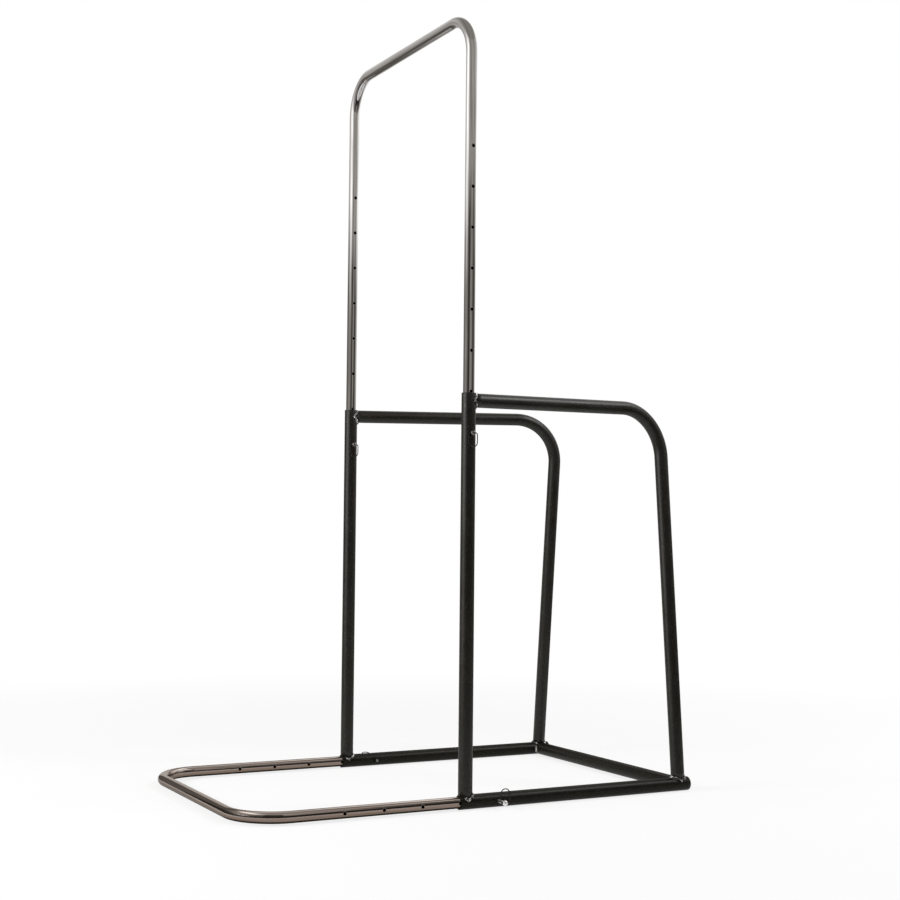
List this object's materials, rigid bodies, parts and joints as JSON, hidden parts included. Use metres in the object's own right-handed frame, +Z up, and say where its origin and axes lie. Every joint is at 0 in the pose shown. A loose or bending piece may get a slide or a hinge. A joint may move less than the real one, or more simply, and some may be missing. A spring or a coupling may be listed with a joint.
{
  "type": "valet stand",
  "caption": "Tall black tube stand with a chromed hoop that telescopes up out of its uprights and another that slides out of its base rails, both locked by pull pins in index holes.",
  "frame": {"origin": "on the floor, midway between the two uprights", "axes": "+X to the right as seen from the front, +Y to the rear, +Z up"},
  "size_m": [0.8165, 1.225, 1.947],
  "materials": {
    "black_paint": "satin black paint",
    "weld_bead": "painted weld bead",
    "rail_plug": "matte black plastic",
    "chrome": "polished chrome plate",
    "zinc_pin": "bright zinc plate",
    "wire": "spring wire"
  },
  "bodies": {
    "frame": {"rear_cross_tube": "black_paint", "right_upright": "black_paint", "right_base_rail": "black_paint", "right_arm_and_leg": "black_paint", "right_rail_plug": "rail_plug", "right_arm_weld": "weld_bead", "right_upright_foot_weld": "weld_bead", "right_leg_foot_weld": "weld_bead", "right_cross_tube_weld": "weld_bead", "left_upright": "black_paint", "left_base_rail": "black_paint", "left_arm_and_leg": "black_paint", "left_rail_plug": "rail_plug", "left_arm_weld": "weld_bead", "left_upright_foot_weld": "weld_bead", "left_leg_foot_weld": "weld_bead", "left_cross_tube_weld": "weld_bead"},
    "upper_hoop": {"upper_hoop": "chrome"},
    "floor_hoop": {"floor_hoop": "chrome"},
    "right_upper_pin": {"right_upper_pin": "zinc_pin"},
    "right_upper_pull_loop": {"right_upper_pull_loop": "wire"},
    "left_upper_pin": {"left_upper_pin": "zinc_pin"},
    "left_upper_pull_loop": {"left_upper_pull_loop": "wire"},
    "right_floor_pin": {"right_floor_pin": "zinc_pin"},
    "right_floor_pull_loop": {"right_floor_pull_loop": "wire"},
    "left_floor_pin": {"left_floor_pin": "zinc_pin"},
    "left_floor_pull_loop": {"left_floor_pull_loop": "wire"}
  },
  "joints": [
    {"name": "upper_hoop_slide", "type": "slide", "parent": "frame", "child": "upper_hoop", "axis": [0, 0, 1], "range_m": [-0.6, 0]},
    {"name": "floor_hoop_slide", "type": "slide", "parent": "frame", "child": "floor_hoop", "axis": [0, -1, 0], "range_m": [-0.4, 0.2]},
    {"name": "right_upper_pin_pull", "type": "slide", "parent": "frame", "child": "right_upper_pin", "axis": [1, 0, 0], "range_m": [0, 0.0457]},
    {"name": "right_upper_loop_swing", "type": "hinge", "parent": "right_upper_pin", "child": "right_upper_pull_loop", "pos_m": [0.3743, 0, 0.902], "axis": [0, -1, 0], "range_deg": [0, 180]},
    {"name": "left_upper_pin_pull", "type": "slide", "parent": "frame", "child": "left_upper_pin", "axis": [1, 0, 0], "range_m": [0, 0.0457]},
    {"name": "left_upper_loop_swing", "type": "hinge", "parent": "left_upper_pin", "child": "left_upper_pull_loop", "pos_m": [-0.3257, 0, 0.902], "axis": [0, -1, 0], "range_deg": [0, 180]},
    {"name": "right_floor_pin_pull", "type": "slide", "parent": "frame", "child": "right_floor_pin", "axis": [1, 0, 0], "range_m": [-0.0285, 0.0173]},
    {"name": "right_floor_loop_swing", "type": "hinge", "parent": "right_floor_pin", "child": "right_floor_pull_loop", "pos_m": [0.4027, 0.0805, 0.0175], "axis": [0, 1, 0], "range_deg": [0, 110]},
    {"name": "left_floor_pin_pull", "type": "slide", "parent": "frame", "child": "left_floor_pin", "axis": [-1, 0, 0], "range_m": [0, 0.0457]},
    {"name": "left_floor_loop_swing", "type": "hinge", "parent": "left_floor_pin", "child": "left_floor_pull_loop", "pos_m": [-0.3743, 0.0805, 0.0175], "axis": [0, -1, 0], "range_deg": [-70, 40]}
  ]
}
